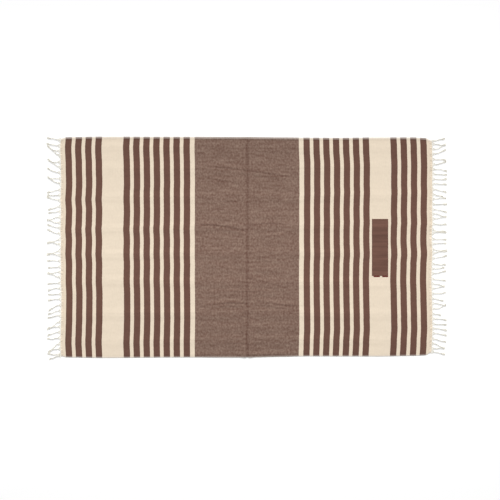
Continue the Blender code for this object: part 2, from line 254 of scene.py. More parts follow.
# How deep a stitch's ends lie and how far its middle rises over them, in radii of its thread.
STITCH_SUNK = 0.9
STITCH_CROWN = 1.5
STITCH_SIDES = 5
TACKS = (
    # start along, end along, upper end across, lower end across
    (570.4 * MM, 598.4 * MM, -129.6 * MM, -135.1 * MM),
    (609.7 * MM, 636.0 * MM, -129.6 * MM, -135.1 * MM),
)
TACK_PITCH = 0.55 * MM
TACK_LEAN = 0.25
TACK_HEIGHT = 0.75 * MM
TACK_THREAD = 0.34 * MM

# Fringes: how far the roots' line lies outside the cloth, and at the left (-1) and right (1) the
# first and last root in from the corners, and the first and last gap as shares of the others.
ROOT_OUT = 2.8 * MM
ROOT_MARGINS = {-1: (6.8 * MM, 3.4 * MM), 1: (3.6 * MM, 7.0 * MM)}
END_GAPS = {-1: (1.0, 0.25), 1: (0.6, 0.6)}

# Strands of the fringes from the far side to the near one: how far the tips of neighbouring
# strands lie towards +Y of their roots and how far they reach out, in millimetres, and the share
# of their length at which they meet, if they do.
LEFT_LOCKS = (
    # leans, reach, meeting share
    ((11, 11), 60),
    ((28, 50), 57, 0.65),
    ((14, 37), 57, 0.72),
    ((23,), 61),
    ((10, 28), 59, 0.92),
    ((-15, 0, 16), 60),
    ((-18, -7), 55),
    ((-12, 8), 60, 0.88),
    ((14, 18), 57),
    ((-18, 6), 60, 0.68),
    ((-21, 3), 61, 0.62),
    ((0,), 61),
    ((-7,), 57),
    ((-7, 19), 59, 0.72),
    ((-5, -10), 58),
    ((-3, -5), 59),
    ((-28,), 55),
    ((-19, -11), 59),
    ((-35, -12), 60, 0.68),
    ((-16, -5), 58),
    ((-42, -19), 53, 0.72),
    ((2,), 59),
    ((-17,), 51),
)
RIGHT_LOCKS = (
    # leans, reach, meeting share
    ((12,), 58),
    ((2, 18), 60, 0.85),
    ((20,), 60),
    ((-5, 12), 60),
    ((-10, -3, 1, -2), 64),
    ((-15,), 62),
    ((-12,), 46),
    ((4,), 60),
    ((-1, -15), 66),
    ((-11, 9), 62, 0.85),
    ((-2,), 62),
    ((-15, 7), 63, 0.4),
    ((-3, 2), 64),
    ((-7, 14), 65, 0.55),
    ((15,), 65),
    ((-4,), 62),
    ((6,), 56),
    ((11, -9), 63),
    ((-8, 6), 57, 0.95),
    ((6,), 61),
    ((-11,), 50),
    ((-3, 12), 61, 0.95),
    ((-9,), 38),
    ((-8, -5, -9, -9), 63),
    ((-16,), 61),
    ((-20, -3), 56, 0.85),
    ((-14,), 60),
)
LEAN_CURVE = 1.5
STRAND_BOW = 2.2 * MM
BOW_PITCH = 10.5 * MM
STRAND_WAVE = 1.1 * MM
STRAND_WAVES = 1.1
STRAND_PHASE = 4.1 * MM
MEETING_RUN = 0.55
MEETING_SPACING = 3.2 * MM

# Yarn of the fringes. Warp threads fan in from the cloth, are twisted into a strand, knotted,
# and end in a frayed tuft. Strays are the largest random shifts.
SEEDS = {-1: 11, 1: 12}
FINE_SIDES = 4
YARN_SIDES = 6

# The fan: where its threads start and end, and how fast they draw together and rise.
FAN_THREADS = 12
FAN_THREAD = 0.38 * MM
FAN_RINGS = 7
FAN_SPREAD = 0.49
FAN_IN = 1.5 * MM
FAN_STRAYS = (0.3 * MM, 0.5 * MM)
FAN_CLOSING = 1.05
FAN_CURVE = 0.9
FAN_RISING = 1.3
GATHER_SHARE = 0.22
GATHER_RUN = 0.06

# The twisted strand, of two plies.
CORD_OVERLAP = 0.02
CORD_RINGS = 42
PLY_RADIUS = 1.05 * MM
PLY_PITCH = 8.5 * MM
THICK_UNEVEN = 0.15
THICK_PITCH = 7.3 * MM

# The knot: its share of the strand's length, alone or after a meeting place, and its coil.
KNOT_SHARE = 0.70
KNOT_UNEVEN = 0.05
KNOT_PITCH = 17 * MM
JOINED_KNOT = 0.04
LAST_KNOT = 0.9
KNOT_RUN = 0.08
KNOT_AIM = 0.05
KNOT_RINGS = 26
KNOT_COIL = 1.2 * MM
KNOT_TUCKED = 0.25
KNOT_YARN = 0.9 * MM
KNOT_LENGTH = 3.4 * MM
KNOT_TURNS = 2.2

# The tuft: its threads flare, curl, end unevenly and lie in layers over the floor.
TUFT_THREADS = 16
TUFT_THREAD = 0.48 * MM
TUFT_TAPER = 0.3
TUFT_OVERLAP = 0.01
TUFT_RINGS = 7
TUFT_ROOT = 1.3 * MM
TUFT_SPREAD = 4.1 * MM
TUFT_FLARE = 2.2
TUFT_SWAY = 1.0 * MM
TUFT_CURL = 3.0
TUFT_LENGTHS = (-0.08, 0.06)
TUFT_FLOOR = 0.5 * MM
TUFT_HEIGHTS = (1.7 * MM, 0.6 * MM)
TUFT_LAYERS = 0.45
TUFT_LAYER_STEP = 2.4

# Colours as linear RGB.
CREAM = (0.808, 0.690, 0.546)
BROWN = (0.150, 0.074, 0.054)
PATCH_BROWN = (0.151, 0.075, 0.054)
TACK_RED = (0.150, 0.005, 0.004)
FRINGE_CREAM = (0.81, 0.785, 0.71)
SELVEDGE_PALE = (0.84, 0.79, 0.73)

# Noises of the yarn: size along and across, detail, a layer of its own, and last its weight in
# the tone. The cloth's are its weft, warp, slubs and clouds, the patch's its weft, warp and
# bands, and the yarn's its fibres and slubs.
STRIPE_EDGES = (200 * MM, 9 * MM, 2.0, 0.0)
THREAD_PATHS = (11 * MM, 19 * MM, 1.0, 0.0)
LOOSE_GAPS = (20 * MM, 3.5 * MM, 2.0, 9.0)
CLOTH_NOISES = (
    (3.4 * MM, 40 * MM, 3.0, 1.0, 0.26),
    (80 * MM, 12.5 * MM, 2.0, 2.0, 0.15),
    (8.5 * MM, 10.5 * MM, 2.0, 10.0, 0.32),
    (50 * MM, 35 * MM, 2.0, 3.0, 0.14),
)
PATCH_NOISES = (
    (90 * MM, 10 * MM, 3.0, 4.0, 0.62),
    (2 * MM, 14 * MM, 3.0, 5.0, 0.24),
    (800 * MM, 30 * MM, 2.0, 6.0, 1.25),
)
YARN_NOISES = (
    (1.2 * MM, 0.4 * MM, 2.0, 7.0, 1.0),
    (8 * MM, 12 * MM, 2.0, 8.0, 1.0),
)
FRINGE_UNEVEN = 0.16
THREAD_UNEVEN = 0.2

# The weave of the cloths: pitch of its threads, how far they wander, and depth of its relief.
THREAD_PITCH = 1.1 * MM
THREAD_WANDER = 1.6 * MM
CLOTH_RELIEF = 0.12 * MM
PATCH_RELIEF = 0.10 * MM
YARN_RELIEF = 0.15 * MM
WEFT_RELIEF = 0.8
STITCH_RELIEF = 2.0

# Share of cream yarn that shows in the brown panel, and how far the warp, the slubs, the painted
# shade along the fold line and the painted shade in the creases change it.
PANEL_CREAM = 0.105
CREAM_CHANGES = (0.15, 0.29, -0.045, -0.04)

# Share of pale warp on the rims of the long sides, and how much less of it on brown cloth.
SELVEDGE_SHARE = 0.45
SELVEDGE_BROWN = 0.10

# Tone of the cloth: strength of its noises on cream; how far a painted light on the near rim, which
# faces away from the key lamp, the painted shade along the fold line and in the creases, and the
# stitches change it; by how much each place is darker, or lighter where the name says so.
TONE_ON_CREAM = 0.36
MARK_TONES = (0.06, -0.07, -0.05, -0.12)
SIDES_DARK = 0.075
MIDDLE_LIGHT = 0.02
HEM_DARK = 0.05
HEM_BROWN_DARK = 0.08
LOOSE_DARK = 1.5
LAST_WEFT_DARK = 0.06
TURNING_LIGHT = 0.10

# The cotton's surface.
COTTON_ROUGHNESS = 0.9
ROUGHNESS_UNEVEN = 0.10
COTTON_GLOSS = 0.18
COTTON_SHEEN = 0.08
SHEEN_ROUGHNESS = 0.5

# The floor, a little below the towel's lowest threads.
FLOOR_WHITE = 0.95
FLOOR_GLOW = 0.155
FLOOR_ROUGHNESS = 0.9
FLOOR_GLOSS = 0.1
FLOOR_DROP = 0.3 * MM
FLOOR_HALF = 6.0

# The camera looks straight down; the lamps are wide, for soft studio light.
PHOTO_WIDTH = 2.26
CAMERA_PLACE = (14.0 * MM, -8.4 * MM)
CAMERA_LENS = 85
CAMERA_SENSOR = 36
WORLD_STRENGTH = 0.36
KEY_ELEVATION = 28
KEY_BEARING = -6
KEY_SPREAD = 22
KEY_STRENGTH = 2.75
TOP_HEIGHT = 1.3
TOP_SIZE = (4.4, 0.3)
TOP_POWER = 11.5

# The map for baking, from bottom to top: height of the face, start and height of the
# underside, start of the rims, and pitch and height of their strips.
MAP_MARGIN = 0.005
MAP_FACE = 0.58
MAP_UNDERSIDE = (0.61, 0.31)
MAP_RIMS = 0.93
MAP_RIM_PITCH = 0.015
MAP_RIM_HEIGHT = 0.008

# Angles in degrees beyond which an edge is sharp.
SHEET_SHARP = 50
THREAD_SHARP = 60


def smooth_step(share):
    share = np.clip(share, 0.0, 1.0)
    return share * share * (3.0 - 2.0 * share)


def read_table(rows, at, column):
    """Smooth values of a column of a millimetre table at places in metres."""
    table = np.array(sorted(rows)) * MM
    places = table[:, 0]
    at = np.clip(at, places[0], places[-1])
    after = np.clip(np.searchsorted(places, at), 1, len(places) - 1)
    share = smooth_step((at - places[after - 1]) / (places[after] - places[after - 1]))
    return table[after - 1, column] * (1.0 - share) + table[after, column] * share


def length_of(share):
    """Length of the half of the towel that a share from -1 to 1 lies on."""
    return np.where(np.asarray(share) < 0, LEFT_LENGTH, RIGHT_LENGTH)


def woven_place(along):
    """Place on the cloth as it was woven, for a place along the towel as it lies."""
    return along / np.where(along < 0, LEFT_STRETCH, RIGHT_STRETCH)


def weft_drift(share, across):
    """How far the weft strays towards +X, at a share from -1 to 1 of each half's length."""
    stations = (-1.0, -OUTER_SHARE, -INNER_SHARE, 0.0, INNER_SHARE, OUTER_SHARE, 1.0)
    columns = (1, 1, 2, None, 3, 4, 4)
    drift = np.zeros(np.broadcast(share, across).shape)
    for number, column in enumerate(columns):
        if column is not None:
            weight = np.interp(share, stations, np.eye(len(stations))[number])
            drift = drift + weight * read_table(WEFT_DRIFT, across, column)
    return drift


def side_edge(side, along):
    """Y of the cloth's near (-1) or far (+1) long side at places along the towel."""
    inset = read_table(SIDE_INSETS, along, 1 if side > 0 else 2)
    return side * (HALF_WIDTH - inset)


def ridge(distance, spread):
    """Round ridge of height 1 that falls to nothing at the spread."""
    return np.maximum(0.0, 1.0 - (distance / spread) ** 2) ** 2


def fold_height(x):
    """Two shoulders beside the centre fold line, steep on the side that faces it."""
    distance = np.abs(x)
    inner = np.minimum(distance / FOLD_CREST, 1.0) ** FOLD_CURVE
    outer = smooth_step((FOLD_FOOT - distance) / (FOLD_FOOT - FOLD_CREST))
    return FOLD_RISE * inner * outer


def trough(distance, spread):
    """Trough of depth 1, short and steep on its far side and long and gentle on its near one."""
    return np.where(distance > 0, ridge(distance, STEEP_SHARE * spread),
                    ridge(distance, GENTLE_SHARE * spread))


def crease_shape(x, y, crease):
    """Ridge of a crease, the depth of the trough along it and the painted shade in that trough."""
    start_x, start_y, end_x, end_y, bow, rise, spread, dip, dip_spread = (
        value * MM for value in crease)
    share = np.clip((x - start_x) / (end_x - start_x), 0.0, 1.0)
    turns, phase = x / CREASE_WAVE, start_y / CREASE_PHASE
    bowed = bow * np.sin(math.pi * share) + CREASE_SWAY * np.sin(turns + phase)
    middle = start_y + (end_y - start_y) * share + bowed
    fade = np.sin(math.pi * share) ** 0.5
    depth = dip * fade * (1.0 + CREASE_UNEVEN * np.sin(1.7 * turns + 0.6 * phase))
    crease_shade = depth / FULL_SHADE_DEPTH * ridge(y - middle, CREASE_SHADE_SPREAD)
    return rise * fade * ridge(y - middle, spread), depth * trough(y - middle, dip_spread), crease_shade


def swell_height(x, y):
    height = 0.0
    for rise, along, across, phase in SWELLS:
        height = height + rise * np.sin(2.0 * math.pi * (along * x + across * y) + phase)
    return np.maximum(0.0, height - SWELL_FLOOR)


def roll_height(x, y):
    """Height of the rolls beside the long sides."""
    height = np.zeros(np.broadcast(x, y).shape)
    for side, start, end, rise, crest, spread in EDGE_ROLLS:
        share = np.clip((x / MM - start) / (end - start), 0.0, 1.0)
        inside = side * (side_edge(side, x) - y)
        fade = np.sin(math.pi * share) ** ROLL_CURVE
        roll = rise * MM * fade * ridge(inside - crest * MM, spread * MM)
        height = np.maximum(height, roll)
    return height


def patch_calm(x, y):
    """0 under the patch, where the cloth lies flat, rising to 1 a little way around it."""
    over_x = np.abs(x - PATCH_MIDDLE[0]) - PATCH_WIDTH / 2
    over_y = np.abs(y - PATCH_MIDDLE[1]) - PATCH_LENGTH / 2
    return smooth_step((np.maximum(over_x, over_y) - PATCH_CALM / 2) / PATCH_CALM)


def cloth_shape(x, y):
    """Height of the cloth's underside above the floor, and the painted shade in its creases."""
    ridges = fold_height(x) ** 3
    troughs = np.zeros(np.broadcast(x, y).shape)
    crease_shade = np.zeros(troughs.shape)
    for crease in CREASES:
        rise, depth, one_crease_shade = crease_shape(x, y, crease)
        ridges = ridges + rise ** 3
        troughs = np.maximum(troughs, depth)
        crease_shade = np.maximum(crease_shade, one_crease_shade)
    height = ridges ** (1.0 / 3.0) + swell_height(x, y) + roll_height(x, y)
    return np.maximum(0.0, height - troughs) * patch_calm(x, y), crease_shade


def ripple_height(x, y):
    """Small unevenness of the cloth's face, up and down."""
    height = np.zeros(x.shape)
    for number, (rise, along, across) in enumerate(RIPPLES):
        places = np.column_stack((x.ravel() / along, y.ravel() / across))
        values = [noise.noise(Vector((u, v, RIPPLE_LAYER * number))) for u, v in places]
        height += rise * np.array(values).reshape(x.shape)
    return height


def place_in_scene(name, data):
    made = bpy.data.objects.new(name, data)
    bpy.context.scene.collection.objects.link(made)
    return made


def new_object(name, mesh, material):
    mesh.materials.append(material)
    mesh.shade_smooth()
    return place_in_scene(name, mesh)


def bake_layout(shares, group, on_top):
    """Places on the bake's map: the face in its lower part, the underside above it, then rims.

    Groups 0 and 1 are the face and the underside, 2 and 3 the long rims, 4 and 5 the ends.
    """
    u, v = shares[:, 0].copy(), shares[:, 1]
    ends = group >= 4
    u[ends] = shares[ends, 1]
    start, height = MAP_UNDERSIDE
    v = np.where(group == 0, MAP_FACE * v, start + height * v)
    rims = group >= 2
    v[rims] = MAP_RIMS + MAP_RIM_PITCH * (group[rims] - 2) + MAP_RIM_HEIGHT * on_top[rims]
    return MAP_MARGIN + (1.0 - 2 * MAP_MARGIN) * np.column_stack((u, v))


def sheet_object(name, x, y, bottom, thick, flat_places, material):
    """Closed sheet over a grid of points, with its flat places as the map `Weave`."""
    columns, rows = x.shape
    low = np.arange(columns * rows).reshape(columns, rows)
    top = low + columns * rows
    groups = (
        (top[:-1, :-1], top[1:, :-1], top[1:, 1:], top[:-1, 1:]),
        (low[:-1, :-1], low[:-1, 1:], low[1:, 1:], low[1:, :-1]),
        (low[:-1, 0], low[1:, 0], top[1:, 0], top[:-1, 0]),
        (top[:-1, -1], top[1:, -1], low[1:, -1], low[:-1, -1]),
        (top[0, :-1], top[0, 1:], low[0, 1:], low[0, :-1]),
        (low[-1, :-1], low[-1, 1:], top[-1, 1:], top[-1, :-1]),
    )
    quads = [np.stack(group, -1).reshape(-1, 4) for group in groups]
    group_numbers = np.concatenate([np.full(len(quad) * 4, number)
                                    for number, quad in enumerate(quads)])
    quads = np.concatenate(quads)
    points = np.stack([np.stack((x, y, z), -1) for z in (bottom, bottom + thick)])
    mesh = bpy.data.meshes.new(name)
    mesh.from_pydata(points.reshape(-1, 3).tolist(), [], quads.tolist())

    corners = quads.ravel()
    cells = corners % (columns * rows)
    weave = flat_places.reshape(-1, 2)[cells]
    shares = np.column_stack((cells // rows / (columns - 1), cells % rows / (rows - 1)))
    baked = bake_layout(shares, group_numbers, corners >= columns * rows)
    for map_name, places in (("Weave", weave), ("OFBake", baked)):
        layer = mesh.uv_layers.new(name=map_name)
        layer.data.foreach_set("uv", places.astype(np.float32).ravel())
    made = new_object(name, mesh, material)
    mesh.set_sharp_from_angle(angle=math.radians(SHEET_SHARP))
    return made


def growing_lines(step, widest):
    """Distances from an edge, whose steps grow to the widest one."""
    lines = [0.0]
    while step < widest:
        lines.append(lines[-1] + step)
        step *= COLUMN_GROWTH
    return np.array(lines)


def even_lines(start, end, step):
    """Even lines between two places, without the places themselves."""
    return np.linspace(start, end, math.ceil((end - start) / step) + 1)[1:-1]


def half_columns():
    """Shares of a half's length for its columns, from the fold to the end."""
    length = (LEFT_LENGTH + RIGHT_LENGTH) / 2
    near_fold = growing_lines(FOLD_COLUMN, PANEL_COLUMN)
    near_end = length - growing_lines(END_COLUMN, WIDEST_COLUMN)[::-1]
    panel = even_lines(near_fold[-1], PANEL_HALF, PANEL_COLUMN)
    beyond = even_lines(PANEL_HALF, near_end[0], WIDEST_COLUMN)
    return np.concatenate((near_fold, panel, (PANEL_HALF,), beyond, near_end)) / length


def framed_lines(size, step, *rim):
    """Even lines across a size, between lines of their own at distances in from both sides."""
    rim = np.array((0.0, *rim))
    inner = size / 2 - rim[-1]
    middle = np.linspace(-inner, inner, round(2 * inner / step) + 1)
    return np.concatenate((rim - size / 2, middle[1:-1], size / 2 - rim[::-1]))


def cloth_thickness(design_across):
    """Thickness across the cloth: a little more at the hems, whose rims are rounded."""
    inside = HALF_WIDTH - np.abs(design_across)
    hem = HEM_THICK - CLOTH_THICK
    thick = CLOTH_THICK + hem * (1.0 - smooth_step((inside - HEM_WIDTH) / HEM_STEP))
    return thick - RIM_DROP * (1.0 - smooth_step(inside / RIM_ROUNDING))


def make_cloth(shift, material):
    """The towel's cloth, with the painted shade in its creases as a point attribute for its
    material.
    """
    half = half_columns()
    share = np.concatenate((-half[:0:-1], half))[:, None]
    hem_lines = (RIM_ROUNDING, HEM_WIDTH / 2, HEM_WIDTH, HEM_WIDTH + HEM_STEP)
    design_across = framed_lines(2 * HALF_WIDTH, ROW_SPACING, *hem_lines)[None, :]
    along = share * length_of(share)
    near, far = side_edge(-1, along), side_edge(1, along)
    y = near + (far - near) * (design_across + HALF_WIDTH) / (2 * HALF_WIDTH)
    x = along + weft_drift(share, y)
    lift, crease_shade = cloth_shape(x, y)
    calm = patch_calm(x, y)
    thick = cloth_thickness(design_across) + ripple_height(x, y) * calm
    thick = thick - FOLD_PRESSED * ridge(x, FOLD_CREST / 2)
    flat_places = np.stack(np.broadcast_arrays(woven_place(along), design_across), -1)
    cloth = sheet_object("towel_cloth", x + shift.x, y + shift.y, lift, thick, flat_places,
                         material)
    marks = cloth.data.attributes.new("CreaseShade", "FLOAT", "POINT")
    marks.data.foreach_set("value", np.tile(crease_shade.ravel(), 2).astype(np.float32))
    return cloth


def patch_top(x, y):
    """Height of the patch's face over its underside, at places from its middle."""
    inside = np.minimum(PATCH_WIDTH / 2 - np.abs(x), PATCH_LENGTH / 2 - np.abs(y))
    turned = 1.0 - smooth_step((inside - PATCH_TURNING + TURNING_STEP) / TURNING_STEP)
    rounded = np.sqrt(np.clip(inside / PATCH_RIM, 0.0, 1.0))
    rise, length, bend, bend_length = PATCH_WAVE
    waves = rise * np.sin(x / length + bend * np.sin(y / bend_length))
    thick = PATCH_THICK + TURNING_THICK * turned + waves * (1.0 - turned)
    pucker = PATCH_PUCKER * turned * np.sin(2 * math.pi * (x + y) / SEWING_PITCH)
    return PATCH_RIM_THICK + (thick + pucker - PATCH_RIM_THICK) * rounded


def make_patch(shift, material):
    rim = (PATCH_RIM / 3, PATCH_RIM, PATCH_TURNING - TURNING_STEP, PATCH_TURNING)
    x = framed_lines(PATCH_WIDTH, PATCH_COLUMN, *rim)[:, None]
    y = framed_lines(PATCH_LENGTH, PATCH_ROW, *rim)[None, :]
    x, y = np.broadcast_arrays(x, y)
    stray, stray_length = PATCH_STRAY
    edge_wave = stray * np.sin(y / stray_length) * np.abs(x) / (PATCH_WIDTH / 2)
    world_x = x + edge_wave + PATCH_MIDDLE[0] + shift.x
    world_y = y + PATCH_MIDDLE[1] + shift.y
    bottom = np.full(x.shape, CLOTH_THICK + PATCH_LIFT)
    return sheet_object("towel_patch", world_x, world_y, bottom, patch_top(x, y),
                        np.stack((x, y), -1), material)


def directions_across(centres, beside=(0.0, 0.0, 1.0)):
    """Two directions across a line of points, no part of which runs in the direction `beside`."""
    tangents = np.gradient(centres, axis=0)
    first = np.cross(tangents, beside)
    first /= np.linalg.norm(first, axis=1)[:, None]
    second = np.cross(first, tangents)
    second /= np.linalg.norm(second, axis=1)[:, None]
    return first, second


class Threads:
    """Round threads gathered into one mesh."""

    def __init__(self):
        self.points = []
        self.faces = []

    def add(self, centres, radii, sides, beside=(0.0, 0.0, 1.0)):
        """Add a closed tube. No part of it runs in the direction `beside`."""
        centres = np.asarray(centres, float)
        radii = np.broadcast_to(radii, len(centres))
        first, second = directions_across(centres, beside)
        angles = np.arange(sides) * 2 * math.pi / sides
        around = (np.cos(angles)[None, :, None] * first[:, None]
                  + np.sin(angles)[None, :, None] * second[:, None])
        rings = centres[:, None] + radii[:, None, None] * around
        start = len(self.points)
        self.points += rings.reshape(-1, 3).tolist()
        for ring in range(len(centres) - 1):
            here = start + ring * sides
            for k in range(sides):
                after = (k + 1) % sides
                self.faces.append((here + k, here + sides + k, here + sides + after, here + after))
        self.faces.append(tuple(range(start, start + sides)))
        last = start + (len(centres) - 1) * sides
        self.faces.append(tuple(range(last + sides - 1, last - 1, -1)))

    def add_twisted(self, centres, ply_radius, pitch, phase, sides):
        """Two plies twisted around a middle line."""
        centres = np.asarray(centres, float)
        first, second = directions_across(centres)
        steps = np.linalg.norm(np.diff(centres, axis=0), axis=1)
        turns = np.concatenate(((0.0,), np.cumsum(steps))) / pitch
        for half_turn in (0.0, 0.5):
            angles = 2 * math.pi * (turns + half_turn) + phase
            offset = np.cos(angles)[:, None] * first + np.sin(angles)[:, None] * second
            self.add(centres + ply_radius * offset, ply_radius, sides)

    def to_object(self, name, shift, material):
        mesh = bpy.data.meshes.new(name)
        mesh.from_pydata((np.array(self.points) + np.array(shift)).tolist(), [], self.faces)
        made = new_object(name, mesh, material)
        mesh.set_sharp_from_angle(angle=math.radians(THREAD_SHARP))
        return made


class Strand:
    """One strand of a fringe, from its root at the cloth's edge to its tip."""

    def __init__(self, side, root_y, lean, reach, spacing):
        self.side = side
        self.root_y = root_y
        self.lean = lean
        self.reach = reach
        self.spacing = spacing
        self.root_x = cloth_end_x(side, root_y) + side * ROOT_OUT
        self.bow = STRAND_BOW * math.sin(root_y / BOW_PITCH)
        self.phase = root_y / STRAND_PHASE
        self.thick = 1.0 + THICK_UNEVEN * math.sin(root_y / THICK_PITCH)
        self.knot_share = KNOT_SHARE + KNOT_UNEVEN * math.sin(root_y / KNOT_PITCH)
        self.lock = [self]
        self.meet = 0.0

    def join(self, lock, meet):
        """Let the strand run beside the others of its lock from a share of its length on."""
        self.lock = lock
        self.meet = meet
        self.knot_share = min(meet + JOINED_KNOT, LAST_KNOT)

    def free_y(self, share):
        """Y along the strand where no other strand draws it aside."""
        wave = STRAND_WAVE * np.sin(2 * math.pi * STRAND_WAVES * share + self.phase)
        bowed = (self.bow + wave) * np.sin(math.pi * share)
        return self.root_y + self.lean * share ** LEAN_CURVE + bowed

    def middle(self, share):
        """Middle line of the strand on the floor plane, at shares of its length."""
        share = np.asarray(share, float)
        x = self.root_x + self.side * self.reach * share
        y = self.free_y(share)
        if self.meet:
            lock_y = sum(strand.free_y(share) for strand in self.lock) / len(self.lock)
            beside = ((len(self.lock) - 1) / 2 - self.lock.index(self)) * MEETING_SPACING
            drawn = smooth_step((share - self.meet) / MEETING_RUN + 1.0)
            y = y + drawn * (lock_y + beside - y)
        return x, y


def cloth_end_x(side, y):
    """X of the cloth's left (-1) or right (+1) end at places across it."""
    return side * float(length_of(side)) + weft_drift(float(side), y)


def root_places(side, count):
    """Places of a fringe's roots across the cloth, from the far side, and their usual spacing."""
    end = side * float(length_of(side))
    first = float(side_edge(1, end)) - ROOT_MARGINS[side][0]
    last = float(side_edge(-1, end)) + ROOT_MARGINS[side][1]
    gaps = np.ones(count - 1)
    gaps[0], gaps[-1] = END_GAPS[side]
    spacing = (first - last) / gaps.sum()
    return first - spacing * np.concatenate(((0.0,), np.cumsum(gaps))), spacing


def fringe_strands(side):
    """Strands of a fringe, from the far side to the near one."""
    rows = LEFT_LOCKS if side < 0 else RIGHT_LOCKS
    places, spacing = root_places(side, sum(len(row[0]) for row in rows))
    places = iter(places)
    strands = []
    for leans, reach, *meet in rows:
        lock = [Strand(side, float(next(places)), lean * MM, reach * MM, spacing) for lean in leans]
        if meet:
            for strand in lock:
                strand.join(lock, *meet)
        strands += lock
    return strands


def add_fan(threads, strand, random):
    """Warp threads that run out of the cloth's end and draw together into the strand."""
    share = np.linspace(0.0, 1.0, FAN_RINGS)[:, None]
    end_x, end_y = strand.middle(GATHER_SHARE + GATHER_RUN)
    spread = np.linspace(-FAN_SPREAD, FAN_SPREAD, FAN_THREADS) * strand.spacing
    root_stray, end_stray = (random.uniform(-most, most, FAN_THREADS) for most in FAN_STRAYS)
    start_y = strand.root_y + spread + root_stray
    start_x = cloth_end_x(strand.side, start_y) - strand.side * FAN_IN
    start_z = cloth_shape(start_x, start_y)[0] + CLOTH_THICK / 2
    x = start_x + (end_x - start_x) * share
    y = start_y + (end_y + end_stray - start_y) * smooth_step(share * FAN_CLOSING) ** FAN_CURVE
    z = start_z + (PLY_RADIUS * 2 - start_z) * smooth_step(share * FAN_RISING)
    for centres in np.stack((x, y, z), -1).swapaxes(0, 1):
        threads.add(centres, FAN_THREAD, FINE_SIDES)


def strand_height(share, knot_share):
    """Height of a strand's middle line, which rises a little into its knot."""
    resting = 2 * PLY_RADIUS
    knot = KNOT_COIL + KNOT_YARN
    return resting + (knot - resting) * smooth_step((share - knot_share + KNOT_RUN) / KNOT_RUN)


def add_cord(threads, strand):
    """The twisted plies, from where the fan gathers to the knot."""
    share = np.linspace(GATHER_SHARE - CORD_OVERLAP, strand.knot_share, CORD_RINGS)
    x, y = strand.middle(share)
    centres = np.column_stack((x, y, strand_height(share, strand.knot_share)))
    threads.add_twisted(centres, PLY_RADIUS * strand.thick, PLY_PITCH, strand.phase, YARN_SIDES)


def add_knot(threads, strand):
    """A coil of yarn around the strand, where it is tied."""
    before = np.array(strand.middle(strand.knot_share - KNOT_AIM))
    place = np.array(strand.middle(strand.knot_share))
    axis = np.array((*(place - before), 0.0))
    axis /= np.linalg.norm(axis)
    sideways = np.cross((0.0, 0.0, 1.0), axis)
    share = np.linspace(0.0, 1.0, KNOT_RINGS)
    angles = 2 * math.pi * KNOT_TURNS * share + strand.phase
    tucked = KNOT_COIL * np.sqrt(np.clip(4 * share * (1 - share) + KNOT_TUCKED, 0.0, 1.0))
    centres = (np.array((*place, KNOT_COIL + KNOT_YARN))
               + ((share - 0.5) * KNOT_LENGTH)[:, None] * axis
               + (tucked * np.cos(angles))[:, None] * sideways
               + (tucked * np.sin(angles))[:, None] * np.array((0.0, 0.0, 1.0)))
    threads.add(centres, KNOT_YARN, YARN_SIDES, beside=axis)


def add_tuft(threads, strand, random):
    """Frayed ends between a strand's knot and its tip."""
    share = np.linspace(strand.knot_share - TUFT_OVERLAP, 1.0, TUFT_RINGS)
    middle_x, middle_y = strand.middle(share)
    out = (share - share[0]) / (share[-1] - share[0])
    width = TUFT_ROOT + (TUFT_SPREAD - TUFT_ROOT) * np.sin(out * TUFT_FLARE)
    height = np.interp(out, (0.0, 1.0), TUFT_HEIGHTS)
    radii = TUFT_THREAD * (1.0 - TUFT_TAPER * out ** 2)
    for number in range(TUFT_THREADS):
        offset = (number / (TUFT_THREADS - 1) - 0.5) * 2
        sway = random.uniform(-TUFT_SWAY, TUFT_SWAY)
        sideways = offset * width + sway * np.sin(TUFT_CURL * out + number)
        longer = 1.0 + random.uniform(*TUFT_LENGTHS) * out
        x = middle_x[0] + (middle_x - middle_x[0]) * longer
        layer = 1.0 - TUFT_LAYERS + TUFT_LAYERS * math.sin(number * TUFT_LAYER_STEP)
        z = TUFT_FLOOR + height * layer
        threads.add(np.column_stack((x, middle_y + sideways, z)), radii, FINE_SIDES)


def make_fringe(side, name, shift, material):
    random = np.random.default_rng(SEEDS[side])
    threads = Threads()
    for strand in fringe_strands(side):
        add_fan(threads, strand, random)
        add_cord(threads, strand)
        add_knot(threads, strand)
        add_tuft(threads, strand, random)
    return threads.to_object(name, shift, material)


def add_stitch(threads, start, end, height, radius):
    """One stitch that comes up out of the cloth, lies on it and goes down again."""
    share = np.linspace(0.0, 1.0, 6)
    places = np.array(start) + (np.array(end) - np.array(start)) * share[:, None]
    z = height + radius * (STITCH_CROWN * np.sin(math.pi * share) ** 0.5 - STITCH_SUNK)
    threads.add(np.column_stack((places, z)), radius, STITCH_SIDES)


def make_sewing(shift, material):
    """Running stitch around the patch, in a thread of its colour."""
    threads = Threads()
    half_x = PATCH_WIDTH / 2 - SEWING_IN
    half_y = PATCH_LENGTH / 2 - SEWING_IN
    corners = ((-half_x, -half_y), (half_x, -half_y), (half_x, half_y), (-half_x, half_y))
    face = CLOTH_THICK + PATCH_LIFT + PATCH_THICK + TURNING_THICK
    first = (SEWING_PITCH - SEWING_STITCH) / 2
    for corner, following in zip(corners, corners[1:] + corners[:1]):
        corner, following = Vector(corner), Vector(following)
        run = following - corner
        count = round(run.length / SEWING_PITCH)
        step = run / count
        for number in range(count):
            start = corner + step * number + step.normalized() * first
            end = start + step.normalized() * SEWING_STITCH
            add_stitch(threads, start, end, face, SEWING_THREAD)
    return threads.to_object("patch_sewing", shift + Vector((*PATCH_MIDDLE, 0.0)), material)


def make_tacks(shift, material):
    """Two dense bars of thread that hold the patch's near edge."""
    threads = Threads()
    for start, end, upper, lower in TACKS:
        count = round((end - start) / TACK_PITCH)
        for number in range(count):
            x = start + (number + 0.5) * TACK_PITCH
            lean = TACK_LEAN * TACK_PITCH * (-1) ** number
            add_stitch(threads, (x - lean, upper), (x + lean, lower),
                       CLOTH_THICK + TACK_HEIGHT, TACK_THREAD)
    return threads.to_object("patch_tacks", shift, material)


